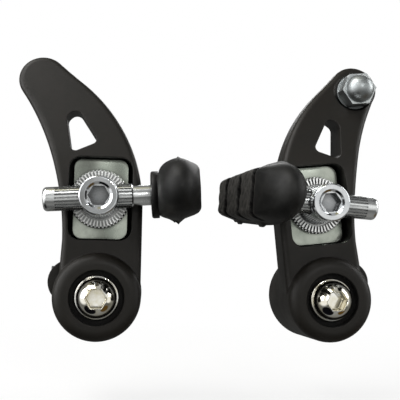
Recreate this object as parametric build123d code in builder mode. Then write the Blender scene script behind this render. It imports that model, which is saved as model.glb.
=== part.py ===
"""Cantilever rim brake: the pair of arms for one wheel, as they stand on the two bosses of a fork.

Millimetres. +Z is up, +X is to the right of someone facing the brake, and the front faces -Y.
The origin lies midway between the two pivots, in the plane of the boss shoulders that the arms back on.
An arm is described in its own three directions: OUT from the wheel, FORWARD from the boss shoulder
and UP the arm, all counted from its pivot.
"""

import os
from math import cos, pi, radians, sin

from build123d import *

os.makedirs("parts", exist_ok=True)

LEFT, RIGHT = -1, 1
NAME = {LEFT: "left", RIGHT: "right"}

# Where the two arms stand
pivot_spacing = 65.3
arm_swing = {LEFT: 0.0, RIGHT: 6.3}  # degrees towards the wheel

# Running gaps and seats
running_gap = 0.05
seat_gap = 0.1
free_gap = 0.3
cut_over = 1.0  # a cut runs this far past the surface that it opens

# Pivot: a sleeve over the frame's boss, clamped by the pivot bolt
boss_bore_radius = 4.05
sleeve_wall = 0.95
sleeve_length = 21.7
sleeve_grip_length = 10.0
sleeve_relief_depth = 0.35
sleeve_flange_radius = 6.4
sleeve_flange_thickness = 1.0
end_float = 0.2

pivot_bolt_thread_radius = 3.0
pivot_bolt_thread_length = 11.0
pivot_bolt_flange_radius = 6.0
pivot_bolt_flange_thickness = 1.5
pivot_bolt_rim_rounding = 0.4
pivot_bolt_dome_radius = 5.5
pivot_bolt_dome_height = 5.4
pivot_bolt_top_radius = 3.5
key_width = 5.0  # across the flats of the hexagon key
key_depth = 4.2

# Moulded arm: the round boss at its foot
boss_back_gap = 0.3
boss_back_radius = 12.9
boss_front_radius = 11.9
bolt_recess_depth = 2.5
boss_front = sleeve_length - end_float + bolt_recess_depth
boss_edge_radius = 3.0
boss_back_edge_radius = 0.8
bolt_recess_radius = 7.5
hub_radius = 6.9
spring_chamber_radius = 10.9
spring_chamber_depth = 9.5

# Moulded arm: the outline seen from the front, as (out, up)
flank_inner = -11.9
flank_straight_top = 24.0
horn_inner = (6.0, 61.2)
horn_shoulder = (12.8, 67.0)
horn_outer = (22.8, 57.6)
flank_outer = (9.9, 15.4)
foot_outer = (10.8, 0.0)

# Moulded arm: the profile seen from the side, as (forward, up)
arm_front = 21.0
arm_back = 9.8
rake_start = 34.0
horn_front = (10.9, 65.0)
horn_back = (3.8, 65.0)
rake_bend_radius = 45.0
profile_top = horn_shoulder[1] + 8.0  # the profile is drawn past the tip of the horn
mould_parting = 1.0  # the edges below this height belong to the boss
arm_edge_radius = 1.7
arm_back_edge_radius = 2.2

# Moulded arm: pocket, slot and window
pocket_centre = (-0.2, 27.1)
pocket_size = (17.6, 23.2)
pocket_corner_radius = 3.4
pocket_floor = 14.0
slot_width = 6.6
slot_travel = 2.8  # the shoe clamp slides this far each way along the arm
window_corners = ((0.7, 43.2), (8.3, 39.6), (10.1, 50.3), (7.2, 53.2))
window_foot_radius = 1.5
window_top_radius = 2.0

# Moulded arm: the ear on the outer side that holds the spring screw
ear_centre = (7.6, 3.8)
ear_radius = 6.2
ear_back = 1.2
ear_front = 15.5

# Return spring, its cover and its screw
wire_radius = 0.8
spring_radius = 8.9
spring_turns = 3.25
spring_pitch = 1.75
spring_tail_out = 3.2
spring_leg_angle = 50.0
spring_leg_length = 4.6
cover_radius = 11.6
cover_thickness = 1.2
spring_screw_radius = 2.0
spring_screw_length = 6.4
spring_screw_up = 6.0
spring_screw_forward = 11.9
spring_screw_key_width = 2.0

# Shoe clamp: plate in the pocket, toe-in washer, eyebolt, rear washer and nut
clamp_up = 27.0
plate_thickness = 2.0
plate_side_gap = 1.2
plate_end_gap = 0.3
plate_corner_radius = 2.6
toe_washer_radius = pocket_size[0] / 2 - abs(pocket_centre[0]) - free_gap
toe_washer_floor = 1.4
toe_washer_rim = 1.5
tooth_ring_outer = toe_washer_radius - 0.5
tooth_ring_inner = toe_washer_radius - 2.2
tooth_ring_height = 2.9
toe_washer_teeth = 48
tooth_depth = 1.0
thread_radius = 3.0
eyebolt_foot_radius = tooth_ring_inner - 0.5
eyebolt_body_radius = eyebolt_foot_radius - 0.6
eyebolt_body_length = 11.2
eyebolt_neck_radius = eyebolt_body_radius - 0.5
eyebolt_neck_length = 1.0
eyebolt_rim_radius = 5.2
eyebolt_rim_thickness = 2.4
eyebolt_rim_rounding = 0.5
eyebolt_mouth_radius = 3.6
eyebolt_mouth_depth = 0.5
eyebolt_mouth_floor_radius = 3.0
eyebolt_key_depth = 2.4
eyebolt_thread_end = 2.6
post_hole_setback = 7.6  # from the eyebolt's seat on the toe-in washer to the middle of its cross hole
rear_washer_radius = 7.0
rear_washer_thickness = 1.6
clamp_nut_width = 10.0
clamp_nut_thickness = 5.0

# Brake shoe: post and pad. REACH is counted from the eyebolt towards the rim.
shoe_tilt = {LEFT: 4.0, RIGHT: 10.3}  # degrees that the post rises towards the rim, in the arm's own frame
pad_toe = {LEFT: 1.5, RIGHT: 10.0}  # degrees that the pad's front end is turned away from the rim
post_radius = 3.25
post_neck_radius = 2.8
post_outer_end = -14.8
post_spline_start = -11.6
post_spline_end = 8.7
post_shoulder_length = 0.4
post_end_radius = 1.1
post_splines = 22
spline_depth = 0.28
post_grip = 5.0
post_press = 0.02  # radial room between the post and the rubber moulded on it
pad_back = 15.6
pad_face = 26.0
pad_ridge = 20.5
pad_face_edge = 25.0
pad_face_half_height = 5.3
pad_face_edge_half_height = 6.2
pad_ridge_half_height = 7.9
pad_flank = (16.9, 6.6)
pad_back_half_height = 4.6
pad_rear_end = -14.8
pad_front_end = 28.5
pad_rear_share = 0.8  # height of the pad's rear end over that of its front
nose_start_face = 16.0
nose_start_back = 23.0
nose_start_top = 14.0
rear_corner_radius = 1.6
pad_disc_radius = 6.4
pad_disc_thickness = 1.5
mould_tabs = ((8.0, -7.9), (-9.0, 6.7))  # (along, height below the middle) of the mould's two nibs
mould_tab_size = (5.0, 1.6, 0.8)
groove_places = (-7.4, 3.0, 13.0)
groove_width = 2.6
groove_depth = 2.6

# Cable anchor on the right arm, cable hook on the left one
anchor_at = (16.4, 60.3)
anchor_thread_radius = 2.5
anchor_head_width = 9.0
anchor_head_thickness = 3.0
anchor_collar_radius = 4.2
anchor_collar_length = 5.0
anchor_washer_radius = 5.4
anchor_washer_thickness = 1.2
cable_hole_radius = 1.1
acorn_width = 9.0
acorn_hex_height = 4.8
acorn_flange_radius = 5.2
acorn_flange_thickness = 1.0
acorn_dome_radius = 4.1
acorn_dome_sink = 1.0  # the ball starts this far below the hexagon's top
anchor_pad_margin = 0.4
anchor_pad_depth = 3.0
hook_radius = 5.2
hook_back = -1.5
hook_root = 3.0
nipple_radius = 3.1
nipple_depth = 5.2
cable_slot_width = 2.2
cable_angle = 125.0  # degrees from OUT, turning up: the way the cable leaves an arm


def arm_plane(side, forward=0.0):
    """Plane across an arm, FORWARD of the boss shoulder: x to the right, y up the arm, z to the front."""
    swing = radians(arm_swing[side])
    return Plane(
        origin=(side * pivot_spacing / 2, -forward, 0),
        x_dir=(cos(swing), 0, sin(swing)),
        z_dir=(0, -1, 0),
    )


def flank_plane(side):
    """Plane through the pivot, square to the arm's face: x to the front, y up the arm."""
    swing = radians(arm_swing[side])
    return Plane(
        origin=(side * pivot_spacing / 2, 0, 0),
        x_dir=(0, -1, 0),
        z_dir=(-cos(swing), 0, -sin(swing)),
    )


def arm_point(side, out, forward, up):
    """A point given in an arm's own directions."""
    return arm_plane(side).from_local_coords((side * out, up, forward))


def turning_plane(side, out=0.0, up=0.0):
    """Plane that holds an axis running forward at (OUT, UP): x across the axis, y along it."""
    swing = radians(arm_swing[side])
    return Plane(
        origin=arm_point(side, out, 0, up),
        x_dir=(cos(swing), 0, sin(swing)),
        z_dir=(sin(swing), 0, -cos(swing)),
    )


def forward_axis(side, out=0.0, up=0.0):
    """Axis that runs forward at (OUT, UP)."""
    return Axis(arm_point(side, out, 0, up), (0, -1, 0))


def post_forward():
    """How far forward the brake shoe's post lies."""
    return pocket_floor + plate_thickness + toe_washer_floor + post_hole_setback


def inward(side):
    """Direction of the brake shoe's post, towards the rim."""
    tilt = radians(shoe_tilt[side])
    return arm_point(side, -cos(tilt), 0, sin(tilt)) - arm_point(side, 0, 0, 0)


def post_plane(side, reach):
    """Plane square to the post at REACH: x to the front, z towards the rim."""
    centre = arm_point(side, 0, post_forward(), clamp_up) + inward(side) * reach
    return Plane(origin=centre, x_dir=(0, -1, 0), z_dir=inward(side))


def post_turning_plane(side):
    """Plane that holds the post's axis: x to the front, y towards the rim."""
    centre = arm_point(side, 0, post_forward(), clamp_up)
    return Plane(origin=centre, x_dir=(0, -1, 0), z_dir=Vector(0, -1, 0).cross(inward(side)))


def post_axis(side):
    """The post's own axis."""
    return Axis(arm_point(side, 0, post_forward(), clamp_up), inward(side))


def pad_frame(side):
    """The pad's own directions, turned by its toe: (towards its front end, towards the rim)."""
    toe = radians(pad_toe[side])
    front, rim = Vector(0, -1, 0), inward(side)
    return front * cos(toe) - rim * sin(toe), rim * cos(toe) + front * sin(toe)


def pad_point(side, along, reach):
    """A point on the pad's middle plane: ALONG it to the front, REACH from the post's middle to the rim."""
    front, rim = pad_frame(side)
    back_centre = post_plane(side, pad_back).origin
    return back_centre + front * along + rim * (reach - pad_back)


def pad_section_plane(side, along):
    """Plane across the pad, ALONG it: x towards the rim, y up on the left pad and down on the right."""
    front, rim = pad_frame(side)
    return Plane(origin=pad_point(side, along, 0), x_dir=rim, z_dir=front)


def pad_plan_plane(side):
    """Plane that cuts the pad at half its height: x to the front, y towards the rim."""
    front, rim = pad_frame(side)
    return Plane(origin=pad_point(side, 0, 0), x_dir=front, z_dir=front.cross(rim))


def pad_side_plane(side, reach):
    """Plane along the pad at REACH, as seen from its back: x to the front, z towards the rim."""
    front, rim = pad_frame(side)
    return Plane(origin=pad_point(side, 0, reach), x_dir=front, z_dir=rim)


def border(faces):
    """The edges that bound a group of faces, without those between two of them."""
    edges = faces.edges()
    return ShapeList(e for e in edges if sum(e.is_same(other) for other in edges) == 1)


def make_arm(side):
    """One moulded arm: boss, flank and horn, with its pocket, slot, window, bores and ear."""
    with BuildPart() as arm:
        # Outline seen from the front: a straight flank that sweeps outwards into the horn
        with BuildSketch(arm_plane(side)):
            with BuildLine():
                foot = Line((side * flank_inner, 0), (side * flank_inner, flank_straight_top))
                sweep_in = TangentArc(foot @ 1, (side * horn_inner[0], horn_inner[1]), tangent=foot % 1)
                shoulder = TangentArc(
                    sweep_in @ 1, (side * horn_shoulder[0], horn_shoulder[1]), tangent=sweep_in % 1
                )
                tip = TangentArc(
                    shoulder @ 1, (side * horn_outer[0], horn_outer[1]), tangent=shoulder % 1
                )
                sweep_out = TangentArc((side * flank_outer[0], flank_outer[1]), tip @ 1, tangent=(0, 1))
                heel = Line(sweep_out @ 0, (side * foot_outer[0], foot_outer[1]))
                Line(heel @ 1, foot @ 0)
            make_face()
        extrude(amount=arm_front + cut_over)

        # Profile seen from the side: the horn leans back and grows thinner
        with BuildSketch(flank_plane(side)) as profile:
            with BuildLine():
                Polyline(
                    (arm_back, -cut_over),
                    (arm_front, -cut_over),
                    (arm_front, rake_start),
                    rake_point((arm_front, rake_start), horn_front, profile_top),
                    rake_point((arm_back, rake_start), horn_back, profile_top),
                    (arm_back, rake_start),
                    close=True,
                )
            make_face()
            bends = profile.vertices().filter_by(lambda v: abs(v.Y - rake_start) < 0.01)
            fillet(bends, radius=rake_bend_radius)
        extrude(amount=profile_top, both=True, mode=Mode.INTERSECT)

        front = arm.faces().filter_by(lambda f: f.normal_at().Y < -0.8)
        fillet(border(front).filter_by(lambda e: e.center().Z > mould_parting), radius=arm_edge_radius)
        back = arm.faces().filter_by(lambda f: f.normal_at().Y > 0.8)
        fillet(border(back).filter_by(lambda e: e.center().Z > mould_parting), radius=arm_back_edge_radius)

        # Ear for the spring screw, on the outer side of the boss
        with BuildSketch(arm_plane(side, ear_back)):
            with Locations((side * ear_centre[0], ear_centre[1])):
                Circle(ear_radius)
        extrude(amount=ear_front - ear_back)

        # Round boss, tapered for the mould
        with BuildSketch(turning_plane(side)) as section:
            with BuildLine():
                Polyline(
                    (0, boss_back_gap),
                    (boss_back_radius, boss_back_gap),
                    (boss_front_radius, boss_front),
                    (0, boss_front),
                    close=True,
                )
            make_face()
            rims = section.vertices().sort_by(Axis.X)[-2:]
            fillet(rims.sort_by(Axis.Y)[-1], radius=boss_edge_radius)
            fillet(rims.sort_by(Axis.Y)[0], radius=boss_back_edge_radius)
        revolve(axis=forward_axis(side))

        if side == LEFT:
            # Hook for the cable's nipple, behind the tip of the horn
            with BuildSketch(arm_plane(side, hook_back)):
                with Locations((side * anchor_at[0], anchor_at[1])):
                    Circle(hook_radius)
            extrude(amount=horn_back[0] + hook_root - hook_back)
            with BuildSketch(arm_plane(side, hook_back)):
                with Locations((side * anchor_at[0], anchor_at[1])):
                    Circle(nipple_radius)
                    with Locations(Location((0, 0), -side * cable_angle)):
                        Rectangle(
                            2 * hook_radius, cable_slot_width, align=(Align.MIN, Align.CENTER)
                        )
            extrude(amount=nipple_depth, mode=Mode.SUBTRACT)
        else:
            # Round seats for the anchor bolt, flat where the horn is raked, and its hole
            pad_radius = anchor_washer_radius + anchor_pad_margin
            for seat, away in ((anchor_seat_front(), 1), (anchor_seat_back(), -1)):
                with BuildSketch(arm_plane(side, seat)):
                    with Locations((side * anchor_at[0], anchor_at[1])):
                        Circle(pad_radius)
                extrude(amount=-away * anchor_pad_depth)
                with BuildSketch(arm_plane(side, seat)):
                    with Locations((side * anchor_at[0], anchor_at[1])):
                        Circle(pad_radius)
                extrude(amount=away * anchor_pad_depth, mode=Mode.SUBTRACT)
            with BuildSketch(arm_plane(side)):
                with Locations((side * anchor_at[0], anchor_at[1])):
                    Circle(anchor_thread_radius + seat_gap)
            extrude(amount=arm_front, mode=Mode.SUBTRACT)

        # Hollows of the boss: bore, recess for the bolt head, spring chamber and seat of its cover
        with BuildSketch(turning_plane(side)):
            with BuildLine():
                Polyline(
                    (0, -cut_over),
                    (cover_radius + running_gap, -cut_over),
                    (cover_radius + running_gap, boss_back_gap + cover_thickness),
                    (spring_chamber_radius, boss_back_gap + cover_thickness),
                    (spring_chamber_radius, spring_chamber_depth),
                    (hub_radius, spring_chamber_depth),
                    (hub_radius, sleeve_flange_thickness + end_float),
                    (boss_bore_radius + sleeve_wall + running_gap, sleeve_flange_thickness + end_float),
                    (boss_bore_radius + sleeve_wall + running_gap, sleeve_length - end_float),
                    (bolt_recess_radius, sleeve_length - end_float),
                    (bolt_recess_radius, boss_front + cut_over),
                    (0, boss_front + cut_over),
                    close=True,
                )
            make_face()
        revolve(axis=forward_axis(side), mode=Mode.SUBTRACT)

        # Pocket for the steel plate, and the slot that the eyebolt slides in
        with BuildSketch(arm_plane(side, pocket_floor)):
            with Locations((side * pocket_centre[0], pocket_centre[1])):
                RectangleRounded(*pocket_size, radius=pocket_corner_radius)
        extrude(amount=arm_front - pocket_floor + cut_over, mode=Mode.SUBTRACT)
        with BuildSketch(arm_plane(side)):
            with Locations((0, clamp_up)):
                SlotCenterToCenter(2 * slot_travel, slot_width, rotation=90)
        extrude(amount=arm_front, mode=Mode.SUBTRACT)

        # Flat track behind the arm for the rear washer, where the horn starts to lean back
        with BuildSketch(arm_plane(side)):
            with Locations((0, clamp_up)):
                SlotCenterToCenter(2 * slot_travel, 2 * (rear_washer_radius + free_gap), rotation=90)
        extrude(amount=arm_back, mode=Mode.SUBTRACT)

        # Window through the horn
        with BuildSketch(arm_plane(side)) as window:
            with BuildLine():
                Polyline(*[(side * out, up) for out, up in window_corners], close=True)
            make_face()
            fillet(window.vertices().sort_by(Axis.Y)[:2], radius=window_foot_radius)
            fillet(window.vertices().sort_by(Axis.Y)[-2:], radius=window_top_radius)
        extrude(amount=arm_front + cut_over, mode=Mode.SUBTRACT)

        # Slot for the spring's front leg, and the tapped hole of the spring screw
        leg_out, leg_up = spring_leg_place(spring_leg_angle)
        with BuildSketch(arm_plane(side)):
            with Locations((side * leg_out, leg_up)):
                SlotCenterToCenter(2 * wire_radius, 2 * wire_radius + 2 * free_gap)
        extrude(amount=spring_leg_end() + free_gap, mode=Mode.SUBTRACT)
        with BuildSketch(screw_plane(side, 0)):
            Circle(spring_screw_radius + running_gap)
        extrude(amount=ear_centre[0] + ear_radius + cut_over, mode=Mode.SUBTRACT)
    arm.part.label = f"{NAME[side]}_arm"
    export_step(arm.part, f"parts/{arm.part.label}.step")


def rake_point(start, end, up):
    """Where the line from START through END reaches the height UP."""
    share = (up - start[1]) / (end[1] - start[1])
    return (start[0] + (end[0] - start[0]) * share, up)


def spring_leg_place(angle):
    """(out, up) of a point of the coil's middle line, ANGLE degrees up from OUT."""
    return spring_radius * cos(radians(angle)), spring_radius * sin(radians(angle))


def spring_coil_back():
    """How far forward the rear turn of the coil starts."""
    return boss_back_gap + cover_thickness + wire_radius + free_gap


def spring_leg_end():
    """How far forward the spring's front leg ends."""
    return spring_coil_back() + spring_turns * spring_pitch + spring_leg_length


def screw_plane(side, start_gap):
    """Plane square to the spring screw, just outside the spring's leg: z outwards."""
    leg_out, _ = spring_leg_place(spring_leg_angle)
    start = leg_out + wire_radius + start_gap
    outwards = arm_point(side, 1, 0, 0) - arm_point(side, 0, 0, 0)
    return Plane(
        origin=arm_point(side, start, spring_screw_forward, spring_screw_up),
        x_dir=(0, -1, 0),
        z_dir=outwards,
    )


def make_sleeve(side):
    """Flanged steel sleeve that slides over the frame's boss, and that the arm turns on."""
    outer = boss_bore_radius + sleeve_wall
    relief = boss_bore_radius + sleeve_relief_depth
    with BuildPart() as sleeve:
        with BuildSketch(turning_plane(side)):
            with BuildLine():
                Polyline(
                    (boss_bore_radius, 0),
                    (sleeve_flange_radius, 0),
                    (sleeve_flange_radius, sleeve_flange_thickness),
                    (outer, sleeve_flange_thickness),
                    (outer, sleeve_length),
                    (relief, sleeve_length),
                    (relief, sleeve_grip_length),
                    (boss_bore_radius, sleeve_grip_length),
                    close=True,
                )
            make_face()
        revolve(axis=forward_axis(side))
    sleeve.part.label = f"{NAME[side]}_pivot_sleeve"
    export_step(sleeve.part, f"parts/{sleeve.part.label}.step")


def make_pivot_bolt(side):
    """Chromed bolt with a flange and a domed head, which clamps the sleeve to the frame's boss."""
    seat = sleeve_length
    flange_front = seat + pivot_bolt_flange_thickness
    top = flange_front + pivot_bolt_dome_height
    with BuildPart() as bolt:
        with BuildSketch(turning_plane(side)) as section:
            with BuildLine():
                Polyline(
                    (0, seat - pivot_bolt_thread_length),
                    (pivot_bolt_thread_radius, seat - pivot_bolt_thread_length),
                    (pivot_bolt_thread_radius, seat),
                    (pivot_bolt_flange_radius, seat),
                    (pivot_bolt_flange_radius, flange_front),
                    (pivot_bolt_dome_radius, flange_front),
                )
                dome = TangentArc(
                    (pivot_bolt_dome_radius, flange_front), (pivot_bolt_top_radius, top), tangent=(0, 1)
                )
                Polyline(dome @ 1, (0, top), (0, seat - pivot_bolt_thread_length))
            make_face()
        revolve(axis=forward_axis(side))
        fillet(
            bolt.edges()
            .filter_by(GeomType.CIRCLE)
            .filter_by(lambda e: abs(e.radius - pivot_bolt_flange_radius) < 0.01),
            radius=pivot_bolt_rim_rounding,
        )
        with BuildSketch(arm_plane(side, top)):
            RegularPolygon(key_width / 2, 6, major_radius=False)
        extrude(amount=-key_depth, mode=Mode.SUBTRACT)
    bolt.part.label = f"{NAME[side]}_pivot_bolt"
    export_step(bolt.part, f"parts/{bolt.part.label}.step")


def make_spring(side):
    """Return spring: a coil round the hub, with a tail for the frame and a leg for the arm."""
    back = spring_coil_back()
    height = spring_turns * spring_pitch
    tail_angle = spring_leg_angle - 360 * spring_turns
    tail_out, tail_up = spring_leg_place(tail_angle)
    leg_out, leg_up = spring_leg_place(spring_leg_angle)
    with BuildPart() as spring:
        with BuildLine():
            coil = Helix(spring_pitch, height, spring_radius, lefthand=side == LEFT)
        with BuildSketch(Plane(origin=coil @ 0, z_dir=coil % 0)):
            Circle(wire_radius)
        sweep(path=coil, is_frenet=True)
    start_angle = tail_angle if side == RIGHT else 180 - tail_angle
    placed = arm_plane(side, back).location * Rot(Z=start_angle) * spring.part
    with BuildPart() as whole:
        add(placed)
        with BuildSketch(arm_plane(side, back)):
            with Locations((side * tail_out, tail_up)):
                Circle(wire_radius)
        extrude(amount=-(back + spring_tail_out))
        with BuildSketch(arm_plane(side, back + height)):
            with Locations((side * leg_out, leg_up)):
                Circle(wire_radius)
        extrude(amount=spring_leg_length)
    whole.part.label = f"{NAME[side]}_return_spring"
    export_step(whole.part, f"parts/{whole.part.label}.step")


def make_cover(side):
    """Nylon ring that closes the spring chamber, with a hole for the spring's tail."""
    tail_out, tail_up = spring_leg_place(spring_leg_angle - 360 * spring_turns)
    with BuildPart() as cover:
        with BuildSketch(arm_plane(side, boss_back_gap)):
            Circle(cover_radius)
            Circle(hub_radius, mode=Mode.SUBTRACT)
            with Locations((side * tail_out, tail_up)):
                Circle(wire_radius + free_gap, mode=Mode.SUBTRACT)
        extrude(amount=cover_thickness)
    cover.part.label = f"{NAME[side]}_spring_cover"
    export_step(cover.part, f"parts/{cover.part.label}.step")


def make_spring_screw(side):
    """Headless screw in the ear, which pushes on the spring's leg to set its tension."""
    with BuildPart() as screw:
        with BuildSketch(screw_plane(side, seat_gap)):
            Circle(spring_screw_radius)
        extrude(amount=spring_screw_length)
        outer_end = screw_plane(side, seat_gap).offset(spring_screw_length)
        with BuildSketch(outer_end):
            RegularPolygon(spring_screw_key_width / 2, 6, major_radius=False)
        extrude(amount=-spring_screw_key_width, mode=Mode.SUBTRACT)
    screw.part.label = f"{NAME[side]}_spring_screw"
    export_step(screw.part, f"parts/{screw.part.label}.step")


def make_plate(side):
    """Zinc-plated plate in the pocket, slotted like the arm behind it."""
    with BuildPart() as plate:
        with BuildSketch(arm_plane(side, pocket_floor)):
            with Locations((side * pocket_centre[0], pocket_centre[1])):
                RectangleRounded(
                    pocket_size[0] - 2 * plate_side_gap,
                    pocket_size[1] - 2 * plate_end_gap,
                    radius=plate_corner_radius,
                )
            with Locations((0, clamp_up)):
                SlotCenterToCenter(2 * slot_travel, slot_width, rotation=90, mode=Mode.SUBTRACT)
        extrude(amount=plate_thickness)
    plate.part.label = f"{NAME[side]}_slot_plate"
    export_step(plate.part, f"parts/{plate.part.label}.step")


def make_toe_washer(side):
    """Dished washer under the eyebolt, with a ring of radial teeth round the dish."""
    seat = pocket_floor + plate_thickness
    with BuildPart() as washer:
        with BuildSketch(turning_plane(side, 0, clamp_up)):
            with BuildLine():
                Polyline(
                    (thread_radius + seat_gap, seat),
                    (toe_washer_radius, seat),
                    (toe_washer_radius, seat + toe_washer_rim),
                    (tooth_ring_outer, seat + tooth_ring_height),
                    (tooth_ring_inner, seat + tooth_ring_height),
                    (tooth_ring_inner, seat + toe_washer_floor),
                    (thread_radius + seat_gap, seat + toe_washer_floor),
                    close=True,
                )
            make_face()
        revolve(axis=forward_axis(side, 0, clamp_up))
        with BuildSketch(arm_plane(side, seat + tooth_ring_height)):
            with Locations((0, clamp_up)):
                with PolarLocations(tooth_ring_inner - free_gap, toe_washer_teeth):
                    Rectangle(
                        toe_washer_radius,
                        pi * tooth_ring_outer / toe_washer_teeth,
                        align=(Align.MIN, Align.CENTER),
                    )
        extrude(amount=-tooth_depth, mode=Mode.SUBTRACT)
    washer.part.label = f"{NAME[side]}_toe_washer"
    export_step(washer.part, f"parts/{washer.part.label}.step")


def make_eyebolt(side):
    """Bolt with a round head and a cross hole that grips the brake shoe's post."""
    seat = pocket_floor + plate_thickness + toe_washer_floor
    neck = seat + eyebolt_body_length
    rim_back = neck + eyebolt_neck_length
    top = rim_back + eyebolt_rim_thickness
    with BuildPart() as eyebolt:
        with BuildSketch(turning_plane(side, 0, clamp_up)):
            with BuildLine():
                Polyline(
                    (0, eyebolt_thread_end),
                    (thread_radius, eyebolt_thread_end),
                    (thread_radius, seat),
                    (eyebolt_foot_radius, seat),
                    (eyebolt_body_radius, neck),
                    (eyebolt_neck_radius, neck + eyebolt_neck_length / 2),
                    (eyebolt_rim_radius, rim_back),
                    (eyebolt_rim_radius, top),
                    (eyebolt_mouth_radius, top),
                    (eyebolt_mouth_floor_radius, top - eyebolt_mouth_depth),
                    (0, top - eyebolt_mouth_depth),
                    close=True,
                )
            make_face()
        revolve(axis=forward_axis(side, 0, clamp_up))
        fillet(
            eyebolt.edges()
            .filter_by(GeomType.CIRCLE)
            .filter_by(lambda e: abs(e.radius - eyebolt_rim_radius) < 0.01),
            radius=eyebolt_rim_rounding,
        )
        with BuildSketch(arm_plane(side, top)):
            with Locations((0, clamp_up)):
                RegularPolygon(key_width / 2, 6, major_radius=False)
        extrude(amount=-(eyebolt_mouth_depth + eyebolt_key_depth), mode=Mode.SUBTRACT)
        with BuildSketch(post_plane(side, 0)):
            Circle(post_radius + running_gap)
        extrude(amount=2 * eyebolt_rim_radius, both=True, mode=Mode.SUBTRACT)
    eyebolt.part.label = f"{NAME[side]}_eyebolt"
    export_step(eyebolt.part, f"parts/{eyebolt.part.label}.step")


def make_rear_washer(side):
    """Washer behind the arm, under the clamp nut."""
    with BuildPart() as washer:
        with BuildSketch(arm_plane(side, arm_back)):
            with Locations((0, clamp_up)):
                Circle(rear_washer_radius)
                Circle(thread_radius + seat_gap, mode=Mode.SUBTRACT)
        extrude(amount=-rear_washer_thickness)
    washer.part.label = f"{NAME[side]}_rear_washer"
    export_step(washer.part, f"parts/{washer.part.label}.step")


def make_clamp_nut(side):
    """Hexagon nut that tightens the eyebolt from behind."""
    with BuildPart() as nut:
        with BuildSketch(arm_plane(side, arm_back - rear_washer_thickness)):
            with Locations((0, clamp_up)):
                RegularPolygon(clamp_nut_width / 2, 6, major_radius=False)
                Circle(thread_radius + running_gap, mode=Mode.SUBTRACT)
        extrude(amount=-clamp_nut_thickness)
    nut.part.label = f"{NAME[side]}_clamp_nut"
    export_step(nut.part, f"parts/{nut.part.label}.step")


def make_post(side):
    """Steel post of the brake shoe, with fine splines where the eyebolt grips it."""
    inner_end = pad_back + post_grip
    with BuildPart() as post:
        with BuildSketch(post_turning_plane(side)) as section:
            with BuildLine():
                Polyline(
                    (0, post_outer_end),
                    (post_radius, post_outer_end),
                    (post_radius, post_spline_end),
                    (post_neck_radius, post_spline_end + post_shoulder_length),
                    (post_neck_radius, inner_end),
                    (0, inner_end),
                    close=True,
                )
            make_face()
        revolve(axis=post_axis(side))
        outer_end = post_plane(side, post_outer_end).origin
        rim = post.edges().filter_by(GeomType.CIRCLE).sort_by_distance(outer_end)[0]
        fillet(rim, radius=post_end_radius)
        with BuildSketch(post_plane(side, post_spline_start)):
            with PolarLocations(post_radius, post_splines):
                Rectangle(2 * spline_depth, pi * post_radius / post_splines)
        extrude(amount=post_spline_end - post_spline_start, mode=Mode.SUBTRACT)
    post.part.label = f"{NAME[side]}_pad_post"
    export_step(post.part, f"parts/{post.part.label}.step")


def make_pad(side):
    """Moulded rubber block: widest along a ridge round its sides and nose, low at the rear, with three
    grooves across the face that meets the rim."""
    with BuildPart() as pad:
        # Section across the block, lofted from the low rear end to the last groove and drawn on from there
        full_section = pad_section(side, groove_places[-1], 1.0)
        loft([pad_section(side, pad_rear_end, pad_rear_share), full_section], ruled=True)
        extrude(full_section, amount=pad_front_end - groove_places[-1])
        # Plan from above: square at the rear, with a nose that meets the ridge in a crease
        with BuildSketch(pad_plan_plane(side)):
            with BuildLine():
                rear = Polyline(
                    (nose_start_face, pad_face),
                    (pad_rear_end, pad_face),
                    (pad_rear_end, pad_back),
                    (nose_start_back, pad_back),
                )
                TangentArc(rear @ 1, (pad_front_end, pad_ridge), tangent=(1, 0))
                TangentArc(rear @ 0, (pad_front_end, pad_ridge), tangent=(1, 0))
            make_face()
        extrude(amount=2 * pad_ridge_half_height, both=True, mode=Mode.INTERSECT)
        # Side view: the nose is an ellipse from top to bottom, the rear corners are a little rounded
        with BuildSketch(pad_side_plane(side, 0)) as elevation:
            with Locations((pad_rear_end, 0)):
                Rectangle(
                    nose_start_top - pad_rear_end,
                    2 * pad_ridge_half_height,
                    align=(Align.MIN, Align.CENTER),
                )
            with Locations((nose_start_top, 0)):
                Ellipse(pad_front_end - nose_start_top, pad_ridge_half_height)
        extrude(amount=2 * pad_face, mode=Mode.INTERSECT)
        rear = pad.faces().sort_by(Axis(pad_point(side, 0, 0), pad_frame(side)[0]))[0]
        fillet(rear.edges(), radius=rear_corner_radius)
        with BuildSketch(pad_side_plane(side, pad_ridge)):
            with Locations(*[(along, -side * below) for along, below in mould_tabs]):
                Rectangle(*mould_tab_size[:2])
        extrude(amount=mould_tab_size[2] / 2, both=True)
        with BuildSketch(pad_side_plane(side, pad_back)):
            Circle(pad_disc_radius)
        extrude(amount=-pad_disc_thickness)
        with BuildSketch(post_plane(side, 0)):
            Circle(post_neck_radius + post_press)
        extrude(amount=pad_back + post_grip, mode=Mode.SUBTRACT)
        with BuildSketch(pad_side_plane(side, pad_face)):
            with Locations(*[(place, 0) for place in groove_places]):
                Rectangle(groove_width, 4 * pad_ridge_half_height)
        extrude(amount=-groove_depth, mode=Mode.SUBTRACT)
    pad.part.label = f"{NAME[side]}_brake_pad"
    export_step(pad.part, f"parts/{pad.part.label}.step")


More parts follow.
